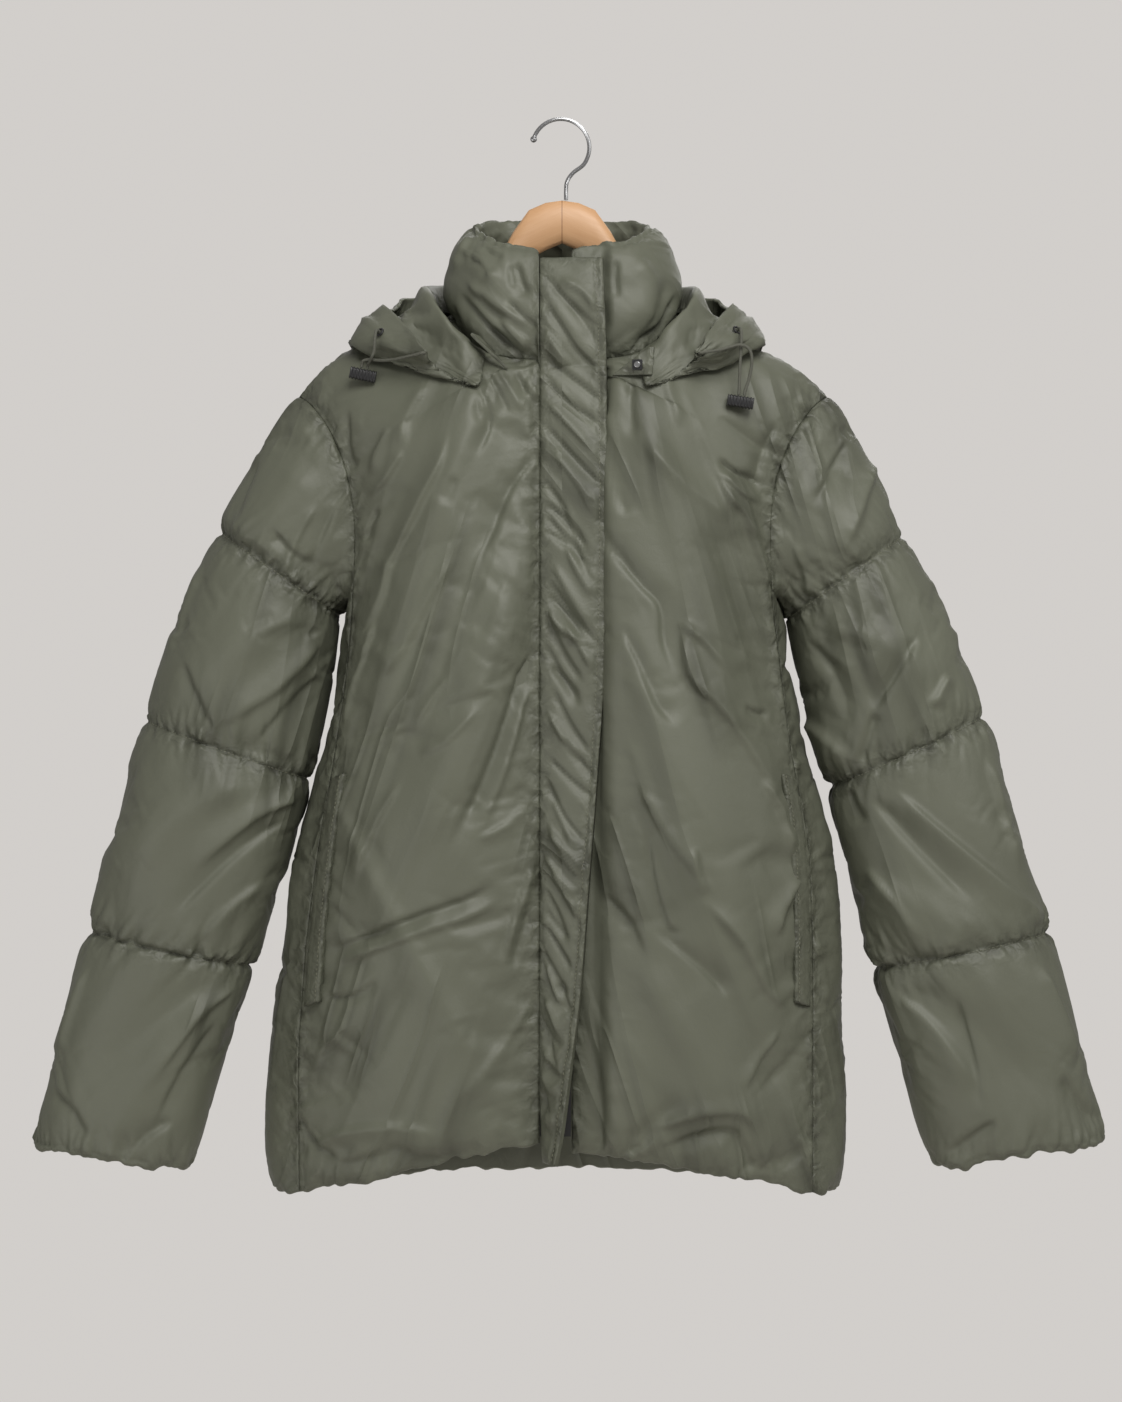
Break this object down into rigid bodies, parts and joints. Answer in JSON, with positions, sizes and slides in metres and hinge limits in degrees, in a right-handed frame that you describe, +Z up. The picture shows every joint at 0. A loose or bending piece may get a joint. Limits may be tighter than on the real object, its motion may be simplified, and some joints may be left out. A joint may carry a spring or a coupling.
{
  "type": "padded jacket on a hanger",
  "caption": "Hip-length padded puffer jacket with a stand collar, laid-back hood, storm flap over the zip and quilted sleeves, hung on a wooden hanger with a wire hook.",
  "frame": {"origin": "underside of the top of the hanger's hook, where a rail or a peg carries the whole jacket", "axes": "+Z is up, the front faces -Y, +X is the wearer's left"},
  "size_m": [0.9027, 0.2348, 0.9056],
  "materials": {
    "shell": "olive-grey padded nylon with a soft sheen",
    "wood": "pale satin beech",
    "steel": "bright plated steel",
    "black_plastic": "satin black",
    "cord": "matt braided cord"
  },
  "bodies": {
    "root": {"front_right": "shell", "front_left": "shell", "side_right": "shell", "side_left": "shell", "back": "shell", "sleeve_right": "shell", "sleeve_left": "shell", "collar": "shell", "storm_flap": "shell", "zip": "black_plastic", "zip_box": "steel", "pocket_welt_right": "shell", "pocket_welt_left": "shell", "hood": "shell", "hanger_wood": "wood", "hanger_hook": "steel", "hood_tab_right": "shell", "hood_tab_left": "shell", "tab_patch": "black_plastic", "tab_snap": "steel", "flap_snap": "steel", "eyelet_right": "black_plastic", "eyelet_left": "black_plastic", "cord_lock_right": "black_plastic", "cord_lock_left": "black_plastic", "cord_right_eyelet": "cord", "cord_right_brim": "cord", "cord_left_eyelet": "cord", "cord_left_brim": "cord"}
  },
  "joints": []
}
